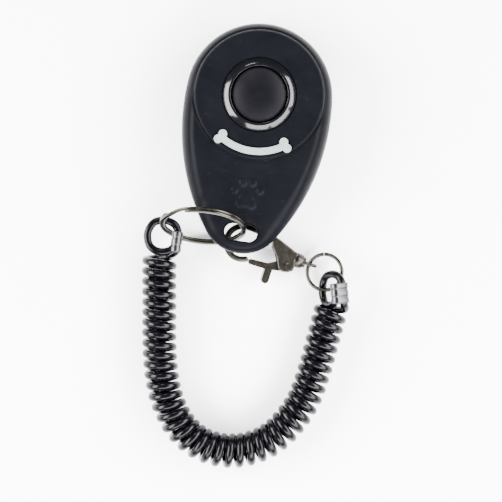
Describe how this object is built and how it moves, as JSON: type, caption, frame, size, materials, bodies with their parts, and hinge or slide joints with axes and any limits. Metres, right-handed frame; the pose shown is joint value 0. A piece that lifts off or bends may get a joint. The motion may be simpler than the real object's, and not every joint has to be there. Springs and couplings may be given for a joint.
{
  "type": "dog training clicker",
  "caption": "Egg-shaped dog training clicker with a push button, a split ring through its nose and a curly wrist cord that ends in a swivel snap hook.",
  "frame": {"origin": "on the table the back shell lies on, under the middle of the push button", "axes": "+X to the side the snap hook hangs, +Y to the wide end of the housing, +Z out of the face with the button"},
  "size_m": [0.0603, 0.1256, 0.0232],
  "materials": {
    "housing_black": "satin moulded ABS",
    "button_black": "satin moulded ABS, slightly worn by the thumb",
    "trim_black": "high gloss",
    "badge_silver": "bright metallised plastic",
    "spring_steel": "rolled spring steel",
    "screw_steel": "zinc plated",
    "ring_steel": "nickel plated wire",
    "hook_nickel": "tumbled nickel plated casting",
    "cord_black": "smooth extruded polyurethane",
    "ferrule_steel": "crimped sleeve"
  },
  "bodies": {
    "root": {"front_shell": "housing_black", "back_shell": "housing_black", "trim_ring": "trim_black", "bone_badge": "badge_silver", "leaf_screw": "screw_steel", "case_screws": "screw_steel", "coil_cord": "cord_black", "end_loop_left": "cord_black", "end_loop_right": "cord_black", "ferrule_left": "ferrule_steel", "ferrule_right": "ferrule_steel", "swivel_eye": "hook_nickel"},
    "button": {"button": "button_black"},
    "leaf": {"click_leaf": "spring_steel"},
    "ring": {"split_ring": "ring_steel"},
    "hook": {"hook_body": "hook_nickel", "gate_pin": "screw_steel"},
    "gate": {"hook_gate": "hook_nickel", "gate_spring": "spring_steel"},
    "link": {"link_ring": "ring_steel"}
  },
  "joints": [
    {"name": "button_press", "type": "slide", "parent": "root", "child": "button", "axis": [0, 0, -1], "range_m": [0, 0.0016], "stiffness_N_per_m": 900},
    {"name": "leaf_flex", "type": "hinge", "parent": "root", "child": "leaf", "pos_m": [0, -0.015, 0.006], "axis": [-1, 0, 0], "range_deg": [0, 6.3]},
    {"name": "ring_turn", "type": "hinge", "parent": "root", "child": "ring", "pos_m": [-0.0106, -0.03815, 0.0117], "axis": [0.0486, -0.9279, 0.3697], "continuous": true},
    {"name": "hook_turn", "type": "hinge", "parent": "root", "child": "hook", "pos_m": [0.001, -0.0412, 0.00515], "axis": [-0.9752, 0.172, 0.1392], "range_deg": [0, 16]},
    {"name": "gate_open", "type": "hinge", "parent": "hook", "child": "gate", "pos_m": [0.01355, -0.04585, 0.0033], "axis": [-0.1371, 0.0242, -0.9903], "range_deg": [0, 22], "stiffness_Nm_per_rad": 0.01},
    {"name": "link_turn", "type": "hinge", "parent": "root", "child": "link", "pos_m": [0.02521, -0.04628, 0.00381], "axis": [-0.309, 0, 0.9511], "continuous": true}
  ],
  "couplings": [
    {"joint": "leaf_flex", "follows": "button_press", "rad_per_m": 66.667}
  ]
}
